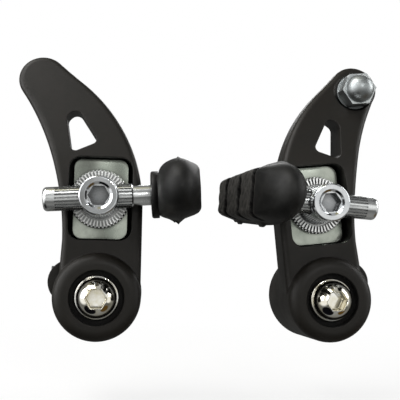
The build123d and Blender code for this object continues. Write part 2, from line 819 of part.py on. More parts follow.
def pad_section(side, along, share):
    """Section across the pad, ALONG it, with its heights scaled by SHARE."""
    with BuildSketch(pad_section_plane(side, along)) as section:
        with BuildLine():
            upper = Polyline(
                (pad_ridge, pad_ridge_half_height * share),
                (pad_face_edge, pad_face_edge_half_height * share),
                (pad_face, pad_face_half_height * share),
                (pad_face, -pad_face_half_height * share),
                (pad_face_edge, -pad_face_edge_half_height * share),
                (pad_ridge, -pad_ridge_half_height * share),
            )
            for way, end in ((1, upper @ 0), (-1, upper @ 1)):
                ThreePointArc(
                    end,
                    (pad_flank[0], way * pad_flank[1] * share),
                    (pad_back, way * pad_back_half_height * share),
                )
            Line((pad_back, pad_back_half_height * share), (pad_back, -pad_back_half_height * share))
        make_face()
    return section.sketch.face()


def make_anchor_bolt(side):
    """Bolt through the horn, with a cross hole in its collar for the cable, and its head behind."""
    washer_back = anchor_seat_back() - anchor_washer_thickness
    collar_back = washer_back - anchor_collar_length
    with BuildPart() as bolt:
        with BuildSketch(arm_plane(side, collar_back)):
            with Locations((side * anchor_at[0], anchor_at[1])):
                Circle(anchor_collar_radius)
        extrude(amount=anchor_collar_length)
        with BuildSketch(arm_plane(side, collar_back)):
            with Locations((side * anchor_at[0], anchor_at[1])):
                RegularPolygon(anchor_head_width / 2, 6, major_radius=False)
        extrude(amount=-anchor_head_thickness)
        with BuildSketch(arm_plane(side, washer_back)):
            with Locations((side * anchor_at[0], anchor_at[1])):
                Circle(anchor_thread_radius)
        extrude(amount=anchor_seat_front() + acorn_hex_height - washer_back)
        with BuildSketch(cable_plane(side, washer_back - anchor_collar_length / 2)):
            Circle(cable_hole_radius)
        extrude(amount=2 * anchor_collar_radius, both=True, mode=Mode.SUBTRACT)
    bolt.part.label = f"{NAME[side]}_anchor_bolt"
    export_step(bolt.part, f"parts/{bolt.part.label}.step")


def anchor_seat_back():
    """How far forward the horn's back seat lies at the anchor."""
    return rake_point((arm_back, rake_start), horn_back, anchor_at[1])[0]


def anchor_seat_front():
    """How far forward the horn's front seat lies at the anchor."""
    return rake_point((arm_front, rake_start), horn_front, anchor_at[1])[0]


def cable_plane(side, forward):
    """Plane square to the cable where it crosses the anchor bolt: z the way the cable leaves."""
    turn = radians(cable_angle)
    along = arm_point(side, cos(turn), 0, sin(turn)) - arm_point(side, 0, 0, 0)
    return Plane(
        origin=arm_point(side, anchor_at[0], forward, anchor_at[1]), x_dir=(0, -1, 0), z_dir=along
    )


def make_anchor_washer(side):
    """Washer between the horn and the anchor bolt's collar."""
    with BuildPart() as washer:
        with BuildSketch(arm_plane(side, anchor_seat_back())):
            with Locations((side * anchor_at[0], anchor_at[1])):
                Circle(anchor_washer_radius)
                Circle(anchor_thread_radius + seat_gap, mode=Mode.SUBTRACT)
        extrude(amount=-anchor_washer_thickness)
    washer.part.label = f"{NAME[side]}_anchor_washer"
    export_step(washer.part, f"parts/{washer.part.label}.step")


def make_acorn_nut(side):
    """Flanged acorn nut on the front end of the anchor bolt."""
    seat = anchor_seat_front()
    hex_top = seat + acorn_flange_thickness + acorn_hex_height
    with BuildPart() as nut:
        with BuildSketch(arm_plane(side, seat)):
            with Locations((side * anchor_at[0], anchor_at[1])):
                Circle(acorn_flange_radius)
        extrude(amount=acorn_flange_thickness)
        with BuildSketch(arm_plane(side, seat)):
            with Locations((side * anchor_at[0], anchor_at[1])):
                RegularPolygon(acorn_width / 2, 6, major_radius=False)
        extrude(amount=hex_top - seat)
        with BuildSketch(turning_plane(side, *anchor_at)):
            with BuildLine():
                dome = CenterArc((0, hex_top), acorn_dome_radius, 0, 90)
                root = hex_top - acorn_dome_sink
                Polyline(dome @ 1, (0, root), (acorn_dome_radius, root), dome @ 0)
            make_face()
        revolve(axis=forward_axis(side, *anchor_at))
        with BuildSketch(arm_plane(side, seat)):
            with Locations((side * anchor_at[0], anchor_at[1])):
                Circle(anchor_thread_radius + running_gap)
        extrude(amount=acorn_hex_height + seat_gap, mode=Mode.SUBTRACT)
    nut.part.label = f"{NAME[side]}_acorn_nut"
    export_step(nut.part, f"parts/{nut.part.label}.step")


for arm_side in (LEFT, RIGHT):
    make_arm(arm_side)
    make_sleeve(arm_side)
    make_pivot_bolt(arm_side)
    make_spring(arm_side)
    make_cover(arm_side)
    make_spring_screw(arm_side)
    make_plate(arm_side)
    make_toe_washer(arm_side)
    make_eyebolt(arm_side)
    make_rear_washer(arm_side)
    make_clamp_nut(arm_side)
    make_post(arm_side)
    make_pad(arm_side)

make_anchor_bolt(RIGHT)
make_anchor_washer(RIGHT)
make_acorn_nut(RIGHT)
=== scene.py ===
# %% [markdown]
# # A cantilever rim brake
#
# A cantilever brake is a pair of arms that stand on two bosses of a fork. A cable joins their raked horns,
# and pulls the two rubber pads against the rim. The shapes of the rigid parts come ready from the CAD
# model, so this lesson is mostly about finishes: moulded nylon, worn rubber, zinc plating and chrome.
# The pads and the two domed bolts are built here. Soft rubber needs rounder edges than a CAD solid gives
# it, and polished chrome shows the smallest flat on a dome.

from math import cos, radians, sin

import bpy
import numpy as np
from mathutils import Matrix, Vector


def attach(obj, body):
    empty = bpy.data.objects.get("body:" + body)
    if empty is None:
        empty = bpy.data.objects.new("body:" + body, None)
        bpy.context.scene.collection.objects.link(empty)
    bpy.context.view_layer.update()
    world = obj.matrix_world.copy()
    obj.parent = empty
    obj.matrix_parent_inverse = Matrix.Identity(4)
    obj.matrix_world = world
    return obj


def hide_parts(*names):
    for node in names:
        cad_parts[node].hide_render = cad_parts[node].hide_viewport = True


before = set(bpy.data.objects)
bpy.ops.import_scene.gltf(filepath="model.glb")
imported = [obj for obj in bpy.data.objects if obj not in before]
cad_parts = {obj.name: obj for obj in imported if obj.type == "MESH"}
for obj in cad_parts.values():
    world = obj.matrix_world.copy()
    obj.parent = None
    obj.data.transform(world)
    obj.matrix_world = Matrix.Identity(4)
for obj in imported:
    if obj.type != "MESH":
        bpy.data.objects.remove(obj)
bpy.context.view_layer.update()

# %% [markdown]
# ## Colours
#
# Colours are easiest to choose as the hex values that a paint program shows. Those are sRGB numbers, and
# a shader wants linear light, so one function turns them round.

# %% Hex colour to linear light
MM = 0.001


def linear(hex_colour):
    """Linear RGBA of an sRGB hex colour: v / 12.92 when dark, else ((v + 0.055) / 1.055) to the power
    2.4."""
    srgb = np.array([int(hex_colour[i : i + 2], 16) for i in (1, 3, 5)]) / 255
    rgb = np.where(srgb <= 0.04045, srgb / 12.92, ((srgb + 0.055) / 1.055) ** 2.4)
    return (*rgb.tolist(), 1.0)


print("mid grey in linear light", round(linear("#808080")[0], 3))

# %% [markdown]
# ## One function for nodes
#
# A material is a small graph. Writing each node as one call keeps the graph readable: the call names the
# kind of node, sets its properties, fills its sockets, and links those that are fed by another node. It
# gives back the node's outputs, and the next call takes one of them. Most calls below mix two colours, so
# the settings of that node are kept under a name.

# %% Add a node with its settings and links
colour_mix = ("ShaderNodeMix", {"data_type": "RGBA"})


def add_node(tree, kind, settings=None, **sockets):
    """Adds a node of a kind and returns its outputs. Settings are its properties. A socket takes a value,
    a hex colour, or another node's output as a link. Underscores in a socket's name stand for spaces, and
    in_0 means the first input. A colour mix has its colours at in_6 and in_7 and its result at output 2."""
    node = tree.nodes.new(kind)
    for name, value in (settings or {}).items():
        setattr(node, name, value)
    for name, value in sockets.items():
        socket = node.inputs[int(name[3:]) if name.startswith("in_") else name.replace("_", " ")]
        if isinstance(value, bpy.types.NodeSocket):
            tree.links.new(value, socket)
        else:
            socket.default_value = linear(value) if isinstance(value, str) else value
    return node.outputs


print("node helper ready")

# %% [markdown]
# ## A material to start from
#
# Every finish here starts the same way: an empty graph, and Object coordinates, so that a pattern keeps its
# real size in millimetres. A Bevel node feeds the normal. It rounds an edge's shading by a few tenths of a
# millimetre, which is what makes a moulded or plated edge catch a thin line of light.

# %% Start a material


def start_material(name, edge_mm):
    """A named material with its tree, Object coordinates and a normal rounded over edge_mm."""
    material = bpy.data.materials.new(name)
    material.use_nodes = True
    tree = material.node_tree
    tree.nodes.clear()
    where = add_node(tree, "ShaderNodeTexCoord")["Object"]
    rounded = add_node(tree, "ShaderNodeBevel", {"samples": 6}, Radius=edge_mm * MM)["Normal"]
    return material, tree, where, rounded


print("material start ready")

# %% [markdown]
# ## Patterns with a real size
#
# Noise is the pattern of nearly every worn surface. Its Scale counts how many features fit in a metre, so
# a feature size in millimetres is turned over. The same noise serves in two ways: stretched, as soft
# patches of a tone or a gloss, and read as height, as a relief that bends the normal.

# %% Patches and relief


def patches(tree, where, size_mm, low, high, to_low=0.0, to_high=1.0, detail=4.0, roughness=0.6):
    """Soft patches of size_mm. Noise lies between 0 and 1, most of it near a half. Its part from low to
    high is stretched to to_low..to_high, and the rest is clamped."""
    noise = add_node(
        tree,
        "ShaderNodeTexNoise",
        Vector=where,
        Scale=1 / (size_mm * MM),
        Detail=detail,
        Roughness=roughness,
    )[0]
    stretched = add_node(
        tree,
        "ShaderNodeMapRange",
        Value=noise,
        From_Min=low,
        From_Max=high,
        To_Min=to_low,
        To_Max=to_high,
    )
    return stretched[0]


def relief(tree, where, size_mm, height_mm, strength, normal, detail, roughness):
    """The normal bent by bumps size_mm across and height_mm high, seen with a strength from 0 to 1."""
    noise = add_node(
        tree,
        "ShaderNodeTexNoise",
        Vector=where,
        Scale=1 / (size_mm * MM),
        Detail=detail,
        Roughness=roughness,
    )[0]
    bump = add_node(
        tree, "ShaderNodeBump", Strength=strength, Distance=height_mm * MM, Height=noise, Normal=normal
    )
    return bump[0]


print("patches and relief ready")

# %% [markdown]
# ## Edges and recesses
#
# Handling wears a part at its edges, and on the nylon the paler edges also stand for a painted highlight.
# Recesses are painted darker as shade. Two masks find them. At an edge the rounded normal and the true
# normal point apart. In a recess little of the view outwards is open.

# %% Edge and recess masks


def edge_mask(tree, rounded, reach):
    """1 at an edge and 0 on a flat: one minus the dot of the rounded and the true normal, over reach."""
    true_normal = add_node(tree, "ShaderNodeNewGeometry")["True Normal"]
    agree = add_node(
        tree, "ShaderNodeVectorMath", {"operation": "DOT_PRODUCT"}, in_0=rounded, in_1=true_normal
    )["Value"]
    return add_node(tree, "ShaderNodeMapRange", Value=agree, From_Min=1.0, From_Max=1.0 - reach)[0]


def recess_mask(tree, reach_mm, normal, open_above=0.75):
    """1 deep in a socket or between teeth and 0 in the open: how much of the view outwards is blocked
    within reach_mm. It is 0 where the open share is above open_above, and 1 where it is below a fifth."""
    open_share = add_node(
        tree, "ShaderNodeAmbientOcclusion", {"samples": 8}, Distance=reach_mm * MM, Normal=normal
    )["AO"]
    return add_node(tree, "ShaderNodeMapRange", Value=open_share, From_Min=open_above, From_Max=0.2)[0]


print("masks ready")

# %% [markdown]
# ## Moulded nylon
#
# The arms are glass-filled nylon, injection moulded and left unpainted. The mould was spark-eroded, so
# the skin has a fine dull grain of about 0.1 mm. That is too fine to show here, so it is drawn at 0.35 mm.
# The glass near the surface makes faint cloudy patches, 7 mm across, a little paler and a little shinier.
# The edges are a touch paler, in patches of 2.5 mm: partly handling wear, partly a painted highlight of
# the kind a rounded edge catches. Inside the pocket, the window and other hollows, a painted shade turns
# the nylon a flat black.

# %% Nylon
cloud_mm, edge_wear_and_highlight_mm, nylon_grain_mm, hollow_shade_mm = 7.0, 2.5, 0.35, 6.0


def make_nylon(name, dark, pale, roughness):
    """Matt moulded nylon: cloudy tone, edges paler from wear and from a painted highlight, a dull black
    painted shade in hollows, fine grain in the relief.
    """
    material, tree, where, rounded = start_material(name, edge_mm=0.5)
    clouds = patches(tree, where, cloud_mm, 0.35, 0.65)
    cloudy = add_node(tree, *colour_mix, Factor=clouds, in_6=dark, in_7=pale)[2]
    # Paler edges: partly handling wear and partly a painted highlight, the thin line of light a rounded
    # edge catches.
    rubbed = add_node(
        tree,
        "ShaderNodeMath",
        {"operation": "MULTIPLY"},
        in_0=edge_mask(tree, rounded, reach=0.35),
        in_1=patches(tree, where, edge_wear_and_highlight_mm, 0.4, 0.65, 0.0, 0.55, detail=5.0),
    )[0]
    tone = add_node(tree, *colour_mix, Factor=rubbed, in_6=cloudy, in_7="#2e2c28")[2]
    # Painted shade: where little of the view outwards is open, in the pocket, the window and inner corners,
    # the colour is mixed to near black.
    hollow_shade = recess_mask(tree, hollow_shade_mm, rounded)
    dull = add_node(
        tree,
        "ShaderNodeMath",
        {"operation": "MAXIMUM"},
        in_0=patches(tree, where, cloud_mm, 0.3, 0.7, roughness + 0.05, roughness - 0.05),
        in_1=hollow_shade,
    )[0]
    shader = add_node(
        tree,
        "ShaderNodeBsdfPrincipled",
        Base_Color=add_node(tree, *colour_mix, Factor=hollow_shade, in_6=tone, in_7="#040404")[2],
        Roughness=dull,
        IOR=1.53,
        Specular_IOR_Level=0.25,
        Normal=relief(tree, where, nylon_grain_mm, 0.05, 0.3, rounded, 3.0, 0.7),
    )[0]
    add_node(tree, "ShaderNodeOutputMaterial", Surface=shader)
    return material


moulded_nylon = make_nylon("moulded glass-filled nylon", "#191713", "#1f1c18", 0.47)
cover_nylon = make_nylon("plain moulded nylon", "#151412", "#1c1a17", 0.5)
print("made", moulded_nylon.name, "and", cover_nylon.name)

# %% [markdown]
# ## Plated and bare steel
#
# Zinc plating on steel is bright but never a mirror: the bath leaves a fine tooth of 0.2 mm and soft
# stains. Sockets and the gaps between teeth are painted dark grey, as painted shade. The steel below isn't
# quite flat either: slow waves 9 mm long bend what it mirrors. The same recipe serves for every plated
# part, with its own colours, roughness and stain size. The slot plate's coat is thick and chalky, with a
# greenish cast. The teeth of the toe-in washer and the splines of the post are only half a millimetre
# wide, so their edges are rounded far less, and their painted shade lies in grooves just as narrow. The
# pivot bolts are chromed and polished, and keep only a faint warm stain.

# %% Plated steel
wave_length_mm, tooth_mm = 9.0, 0.2


def make_plated_steel(
    name, light, stain, roughness, stain_mm, edge_mm=0.2, recess_mm=2.5, wave_mm=0.15, open_above=0.75
):
    """Plated steel: metallic, two tones mixed by a soft stain, roughness that follows the stain, painted
    shade where the way outwards is blocked within recess_mm, and slow waves wave_mm high."""
    material, tree, where, rounded = start_material(name, edge_mm)
    stains = patches(tree, where, stain_mm, 0.38, 0.66, detail=5.0)
    plating = add_node(tree, *colour_mix, Factor=stains, in_6=light, in_7=stain)[2]
    # Painted shade: where the way outwards is blocked, in sockets and between teeth and splines, the
    # plating is mixed to a dark grey.
    recess_shade = recess_mask(tree, recess_mm, rounded, open_above)
    dull = add_node(tree, "ShaderNodeMapRange", Value=stains, To_Min=roughness, To_Max=roughness + 0.12)[0]
    waves = relief(tree, where, wave_length_mm, wave_mm, 1.0, rounded, 0.0, 0.6)
    shader = add_node(
        tree,
        "ShaderNodeBsdfPrincipled",
        Base_Color=add_node(tree, *colour_mix, Factor=recess_shade, in_6=plating, in_7="#26272a")[2],
        Metallic=1.0,
        Roughness=dull,
        Normal=relief(tree, where, tooth_mm, 0.02, 0.02, waves, 2.0, 0.5),
    )[0]
    add_node(tree, "ShaderNodeOutputMaterial", Surface=shader)
    return material


chalky_zinc = make_plated_steel(
    "chalky zinc plating", "#b4b9af", "#9ca399", roughness=0.17, stain_mm=7.0, wave_mm=0.9
)
bright_zinc = make_plated_steel(
    "bright zinc plating", "#e2e4e6", "#c9cdd0", roughness=0.1, stain_mm=4.0, recess_mm=5.0, open_above=0.9
)
toothed_zinc = make_plated_steel(
    "bright zinc plating on fine teeth",
    "#f4f5f4",
    "#e4e6e4",
    roughness=0.24,
    stain_mm=4.0,
    edge_mm=0.04,
    recess_mm=0.8,
)
splined_zinc = make_plated_steel(
    "bright zinc plating on splines",
    "#eef0f0",
    "#dadddd",
    roughness=0.2,
    stain_mm=4.0,
    edge_mm=0.02,
    recess_mm=0.6,
    open_above=1.0,
)
satin_zinc = make_plated_steel("satin zinc plating", "#b4b8b8", "#9a9fa0", roughness=0.36, stain_mm=3.0)
ground_steel = make_plated_steel("ground steel", "#c9c6c0", "#aaa69f", roughness=0.3, stain_mm=2.0)
spring_wire = make_plated_steel("drawn spring wire", "#8e8f92", "#6d6e70", roughness=0.35, stain_mm=1.5)
mirror_chrome = make_plated_steel(
    "polished chrome plating",
    "#f6f5f0",
    "#e6dfc8",
    roughness=0.02,
    stain_mm=4.0,
    edge_mm=0.3,
    recess_mm=1.2,
)
print("made", len(bpy.data.materials), "materials so far")

# %% [markdown]
# ## Worn rubber
#
# The pads are moulded black rubber, matt and a little dusty. The three grooves make four blocks, and the
# rim has rubbed those grey, in blotches a little over a millimetre wide. The rest keeps the skin of the
# mould, dark with a soft sheen and a few paler scuffs 5 mm across. The pad's mesh carries two attributes:
# rubbed is 1 on the face, so that the blotches stay where the rim was, and the other is 1 in the grooves,
# where a painted shade turns the rubber a dull black.

# %% Rubber
scuff_mm, blotch_mm, rubber_grain_mm = 5.0, 1.3, 0.5


def make_rubber(name):
    """Matt rubber: dark skin with soft scuffs, grey blotches where the attribute rubbed is 1, and a dull
    black painted shade in the grooves."""
    material, tree, where, rounded = start_material(name, edge_mm=0.3)
    scuffs = patches(tree, where, scuff_mm, 0.48, 0.75, 0.0, 0.7, detail=7.0, roughness=0.65)
    skin = add_node(tree, *colour_mix, Factor=scuffs, in_6="#0f0f0e", in_7="#2b2a28")[2]
    blotches = patches(tree, where, blotch_mm, 0.4, 0.72, detail=6.0, roughness=0.75)
    blotchy = add_node(tree, *colour_mix, Factor=blotches, in_6="#262523", in_7="#504e4a")[2]
    rubbed = add_node(tree, "ShaderNodeAttribute", {"attribute_name": "rubbed"})["Fac"]
    # Painted shade: the grooves are mixed to a dull near black.
    groove_shade = add_node(tree, "ShaderNodeAttribute", {"attribute_name": "groove_shade"})["Fac"]
    tone = add_node(tree, *colour_mix, Factor=rubbed, in_6=skin, in_7=blotchy)[2]
    dull = add_node(
        tree,
        "ShaderNodeMath",
        {"operation": "MAXIMUM"},
        in_0=add_node(tree, "ShaderNodeMapRange", Value=rubbed, To_Min=0.52, To_Max=0.66)[0],
        in_1=groove_shade,
    )[0]
    shader = add_node(
        tree,
        "ShaderNodeBsdfPrincipled",
        Base_Color=add_node(tree, *colour_mix, Factor=groove_shade, in_6=tone, in_7="#040404")[2],
        Roughness=dull,
        IOR=1.5,
        Specular_IOR_Level=0.27,
        Normal=relief(tree, where, rubber_grain_mm, 0.08, 0.35, rounded, 4.0, 0.7),
    )[0]
    add_node(tree, "ShaderNodeOutputMaterial", Surface=shader)
    return material


worn_rubber = make_rubber("worn black rubber")
print("made", worn_rubber.name)

# %% [markdown]
# ## The pad as a surface
#
# A rubber pad is a bar with a changing section. Seen across, it is narrow at the back where the post goes
# in, widest at the ridge where the two halves of the mould met, and flat at the face. Seen from above, it
# ends in a round nose. Such a shape is a grid: one parameter walks round the section, the other walks
# along the pad, and the second one shrinks the section towards the nose and rounds it off at the rear.
# A CAD loft could only give it flat facets, so it is worked out here as two arrays.

# %% Section of the pad
pad_back, pad_ridge, pad_face = 15.6, 20.5, 26.0
back_half_height, ridge_half_height, face_half_height = 4.4, 7.7, 5.2
arc_pull = (16.1, 7.2)
face_bevel_reach, face_bevel_height = 0.9, 1.0
ridge_above, crease_width = 4.0, 0.8
section_points = 144


def pad_section():
    """Closed section as (reach, height) rows. Half of it: a straight back, an arc to the ridge bent towards
    arc_pull (a quadratic blend of three points), a slope to the bevel of the face and the face. The points
    are evenly spaced by length, and the mean of five neighbours rounds every corner but the ridge."""
    turn = np.linspace(0, 1, 60)[:, None]
    arc = (
        (1 - turn) ** 2 * (pad_back, back_half_height)
        + 2 * turn * (1 - turn) * arc_pull
        + turn**2 * (pad_ridge, ridge_half_height)
    )
    bevel = (pad_face - face_bevel_reach, face_half_height + face_bevel_height)
    half = np.vstack([[(pad_back, 0)], arc, [bevel, (pad_face, face_half_height), (pad_face, 0)]])
    length = np.concatenate([[0], np.cumsum(np.linalg.norm(np.diff(half, axis=0), axis=1))])
    even = np.linspace(0, length[-1], section_points // 2 + 1)
    half = np.stack([np.interp(even, length, half[:, axis]) for axis in (0, 1)], axis=1)
    ring = np.vstack([half, half[-2:0:-1] * (1, -1)])
    near = sum(np.roll(ring, step, axis=0) for step in (-2, -1, 0, 1, 2)) / 5
    crease = np.exp(-(((ring[:, :1] - pad_ridge) / crease_width) ** 2)) * (abs(ring[:, 1:]) > ridge_above)
    return ring * crease + near * (1 - crease)


section = pad_section()
print("section of", len(section), "points,", round(2 * section[:, 1].max(), 1), "mm high")

# %% [markdown]
# ## Along the pad
#
# The stations along the pad are close together at the lips of the grooves, where the surface turns fast,
# and wider apart elsewhere. Three curves give the size of the section at each station: how far the face
# stands in front of the ridge, how far the back stands behind it, and how high the section is. Each fall
# below says where such a curve starts to shrink and with what power. A fourth curve says how round the
# section is: towards the nose it melts into an ellipse, so that its corners don't run together in creases
# at the tip.

# %% Stations and the size at each
rear_end, nose_end = -14.8, 28.5
groove_places = (-7.4, 3.0, 13.0)
groove_width, groove_depth, groove_lip = 2.6, 2.6, 0.3
rear_round, nose_round = 1.7, 3.0
face_fall, back_fall, height_fall = (13.5, 2.4), (20.0, 2.3), (15.0, 2.6)
rear_height_share, full_height_at = 0.82, 8.5
melt_start, melt_length = 15.0, 10.0
quarter_turn = np.pi / 2
lips = [place + way * groove_width / 2 for place in groove_places for way in (-1, 1)]
stations = np.unique(
    np.round(
        np.concatenate(
            [np.linspace(rear_end, nose_end, 110)]
            + [np.linspace(lip - groove_lip, lip + groove_lip, 7) for lip in lips]
            + [rear_end + rear_round * (1 - np.cos(np.linspace(0, quarter_turn, 10)))]
            + [nose_end - nose_round * (1 - np.cos(np.linspace(0, quarter_turn, 16)))]
        ),
        3,
    )
)


def nose_share(start, power):
    """Share of the full size left towards the nose: the root of one minus a power of how far a station is
    on the way from the start to the nose's end. A power of 2 makes a true ellipse."""
    past = np.clip((stations - start) / (nose_end - start), 0, 1)
    return np.sqrt(1 - past**power)


face_reach = (pad_face - pad_ridge) * nose_share(*face_fall)
back_reach = (pad_ridge - pad_back) * nose_share(*back_fall)
rear_share = np.interp(stations, (rear_end, full_height_at), (rear_height_share, 1.0))
height_share = nose_share(*height_fall) * rear_share
rear_inset = rear_round - np.sqrt(
    rear_round**2 - np.clip(rear_end + rear_round - stations, 0, rear_round) ** 2
)
melt = np.clip((stations - melt_start) / melt_length, 0, 1)
roundness = melt * melt * (3 - 2 * melt)
print(len(stations), "stations from", rear_end, "to", nose_end, "mm")

# %% [markdown]
# ## Grooves, flash and wear
#
# Each groove pushes the face back to its floor, with a lip 0.3 mm wide instead of a sharp step. Rubber
# squeezed out where the mould's halves met leaves a thin fin on the ridge, and the two places where the
# rubber was let in leave small nibs below. The rim has left the blocks a little uneven: the sum of two
# slow sine waves, less than a tenth of a millimetre high, is enough for that.

# %% Surface of the pad
nib_places = ((8.0, 2.6), (-9.0, 2.4))
nib_fade, nib_reach, nib_depth = 0.9, 1.6, 0.45
fin_width, fin_height = 0.28, 0.42
wave_height, lip_wander = 0.07, 0.08
face_from, face_fade = 3.2, 1.2
worn_until, worn_fade = 15.5, 2.0
groove_from = 1.5


def pad_surface():
    """(along, reach, height) of each grid point, stations by section points, and the masks of what the
    rim has rubbed and of what lies in a groove, for the painted shade there. The section is scaled to its
    size at the station, drawn towards an ellipse by roundness, and shrunk by the rear's rounding. Then the
    waves are added to the face, the grooves are cut, and the fin and the nibs are added above and below."""
    reach0, height0 = section[None, :, 0] - pad_ridge, section[None, :, 1]
    half_depth = (pad_face - pad_back) / 2
    along = np.repeat(stations[:, None], section_points, axis=1)
    wide = np.where(reach0 > 0, pad_face - pad_ridge, pad_ridge - pad_back)
    away = np.sqrt((reach0 / wide) ** 2 + (height0 / ridge_half_height) ** 2)
    shrink = 1 + roundness[:, None] * (1 / away - 1)
    front = shrink * np.where(
        reach0 > 0,
        reach0 * (face_reach / (pad_face - pad_ridge))[:, None],
        reach0 * (back_reach / (pad_ridge - pad_back))[:, None],
    )
    height = shrink * height0 * height_share[:, None]
    inset = rear_inset[:, None]
    front = front * (1 - inset / half_depth)
    height = height * (1 - inset / ridge_half_height)
    wave = np.sin(along * 0.9 + height * 0.7) + np.sin(along * 2.3 - height * 1.9 + 1.0)
    on_face = np.clip((reach0 - face_from) / face_fade, 0, 1)
    on_face = on_face * np.clip((worn_until - along) / worn_fade, 0, 1)
    front = front + wave_height * wave * on_face
    wandering = (along + lip_wander * wave)[..., None]
    from_groove = abs(wandering - np.array(groove_places)).min(axis=2)
    step = np.clip((groove_width / 2 + groove_lip / 2 - from_groove) / groove_lip, 0, 1)
    step = step * step * (3 - 2 * step)
    floor_reach = (face_reach - groove_depth)[:, None]
    front = front - step * np.clip(front - floor_reach, 0, None)
    fin = np.exp(-((reach0 / fin_width) ** 2)) * (abs(height0) > ridge_above) * (1 - roundness[:, None])
    height = height + fin_height * np.sign(height0) * fin * (1 - inset / rear_round)
    for place, half_length in nib_places:
        nib = np.clip((half_length - abs(along - place)) / nib_fade, 0, 1)
        nib = nib * np.clip(nib_reach - abs(reach0), 0, 1)
        height = height - nib_depth * nib * (height0 < -ridge_above)
    # The mask for the painted shade in the grooves is full a little way into the lip, so the whole groove
    # wall is dark.
    in_groove = np.clip(6 * step, 0, 1) * (reach0 > groove_from)
    return along, pad_ridge + front, height, on_face * (1 - step), in_groove


along, reach, height, rubbed, groove_shade = pad_surface()
print("grid of", along.shape, "points; highest", round(height.max(), 2), "mm above the middle")

# %% [markdown]
# ## From grid to mesh
#
# The grid closes on itself round the section. At its two ends a single point closes it like the pole of
# a globe. The collar round the post is a second shape of the same kind: a profile turned about the post.
# Both go into one mesh, which stands where the post holds it. The left pad is the mirror of the right one,
# so its faces are listed the other way round to keep them pointing outwards.

# %% Mesh of one pad
collar_radius, collar_thickness, post_hole = 6.4, 1.6, 2.82
collar_flat, collar_round, collar_sink = 4.5, 0.6, 0.4


def closed_tube(points, flip):
    """All points and faces of a grid of rings, given as (rings, around, 3), with a pole at each end. Flip
    lists each face the other way round."""
    rings, around, _ = points.shape
    poles = [points[0].mean(axis=0), points[-1].mean(axis=0)]
    ids = np.arange(rings * around).reshape(rings, around)
    ahead = np.roll(ids, -1, axis=1)
    quads = np.stack([ids[:-1], ahead[:-1], ahead[1:], ids[1:]], axis=2).reshape(-1, 4)
    first = np.stack([np.full(around, rings * around), ahead[0], ids[0]], axis=1)
    last = np.stack([np.full(around, rings * around + 1), ids[-1], ahead[-1]], axis=1)
    faces = quads.tolist() + first.tolist() + last.tolist()
    if flip:
        faces = [face[::-1] for face in faces]
    return np.vstack([points.reshape(-1, 3), poles]), faces


def collar():
    """Ring behind the pad as (along, reach, height): a profile of radius and reach turned about the post.
    Its outer corner is a quarter circle, and it goes from the hole, over the rim, into the pad."""
    bend = np.linspace(0, quarter_turn, 7)
    corner_radius = collar_radius - collar_round * (1 - np.sin(bend))
    corner_depth = collar_round * (1 - np.cos(bend))
    radius = np.concatenate([[post_hole, collar_flat], corner_radius, [collar_radius]])
    depth = np.concatenate([[0, 0], corner_depth, [collar_thickness + collar_sink]])
    angle = np.linspace(0, 2 * np.pi, 64, endpoint=False)[None, :]
    return (
        radius[:, None] * np.cos(angle),
        (pad_back - collar_thickness + depth)[:, None] + 0 * angle,
        radius[:, None] * np.sin(angle),
    )


print("mesh helpers ready")

# %% [markdown]
# ## Standing on their posts
#
# Each pad's front end is turned away from the rim by its own toe: the left one by a degree and a half, the
# right one by ten degrees, as photographed. The post rises four degrees towards the rim. From those two
# angles come three directions, along the pad, towards the rim and up, and a point of the pad is a sum of
# steps in them. The pads ride on the shoes, so they move with them when the brake closes.

# %% Place both pads
post_rise = radians(4.0)
# side, middle of the post in mm, toe
shoes = {
    "left": (-1, (-32.65, -25.0, 27.0), radians(1.5)),
    "right": (1, (29.687, -25.0, 26.837), radians(10.0)),
}


def pad_directions(side, toe):
    """Unit vectors (along the pad, towards the rim, up) of the pad on side -1 or 1, turned by its toe."""
    out = np.array((-side * cos(post_rise), 0, sin(post_rise)))
    forward = np.array((0, -1.0, 0))
    along_way = forward * cos(toe) - out * sin(toe)
    rim_way = out * cos(toe) + forward * sin(toe)
    return along_way, rim_way, side * np.cross(rim_way, along_way)


def to_place(grid, post_middle, axes, start):
    """Points in mm: the post's middle, out along the post to the pad's back, then the three steps."""
    origin = np.array(post_middle) + start
    along_mm, reach_mm, height_mm = grid
    return (
        origin
        + along_mm[..., None] * axes[0]
        + (reach_mm - pad_back)[..., None] * axes[1]
        + height_mm[..., None] * axes[2]
    )


for name, (side, post_middle, toe) in shoes.items():
    axes = pad_directions(side, toe)
    start = pad_directions(side, 0.0)[1] * pad_back
    flip = side < 0
    body, body_faces = closed_tube(to_place((along, reach, height), post_middle, axes, start), flip)
    ring, ring_faces = closed_tube(to_place(collar(), post_middle, axes, start), flip)
    ring_faces = [[index + len(body) for index in face] for face in ring_faces]
    pad_mesh = bpy.data.meshes.new(f"{name}_rubber_pad")
    pad_mesh.from_pydata((np.vstack([body, ring]) * MM).tolist(), [], body_faces + ring_faces)
    pad_mesh.polygons.foreach_set("use_smooth", np.ones(len(pad_mesh.polygons), bool))
    for mask_name, mask in (("rubbed", rubbed), ("groove_shade", groove_shade)):
        attribute = pad_mesh.attributes.new(mask_name, "FLOAT", "POINT")
        attribute.data.foreach_set("value", np.concatenate([mask.ravel(), np.zeros(2 + len(ring))]))
    pad = bpy.data.objects.new(f"{name}_rubber_pad", pad_mesh)
    bpy.context.scene.collection.objects.link(pad)
    pad_mesh.materials.append(worn_rubber)
    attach(pad, f"{name}_shoe")
    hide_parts(f"{name}_brake_pad")
    print(name, "pad:", len(pad_mesh.polygons), "faces")

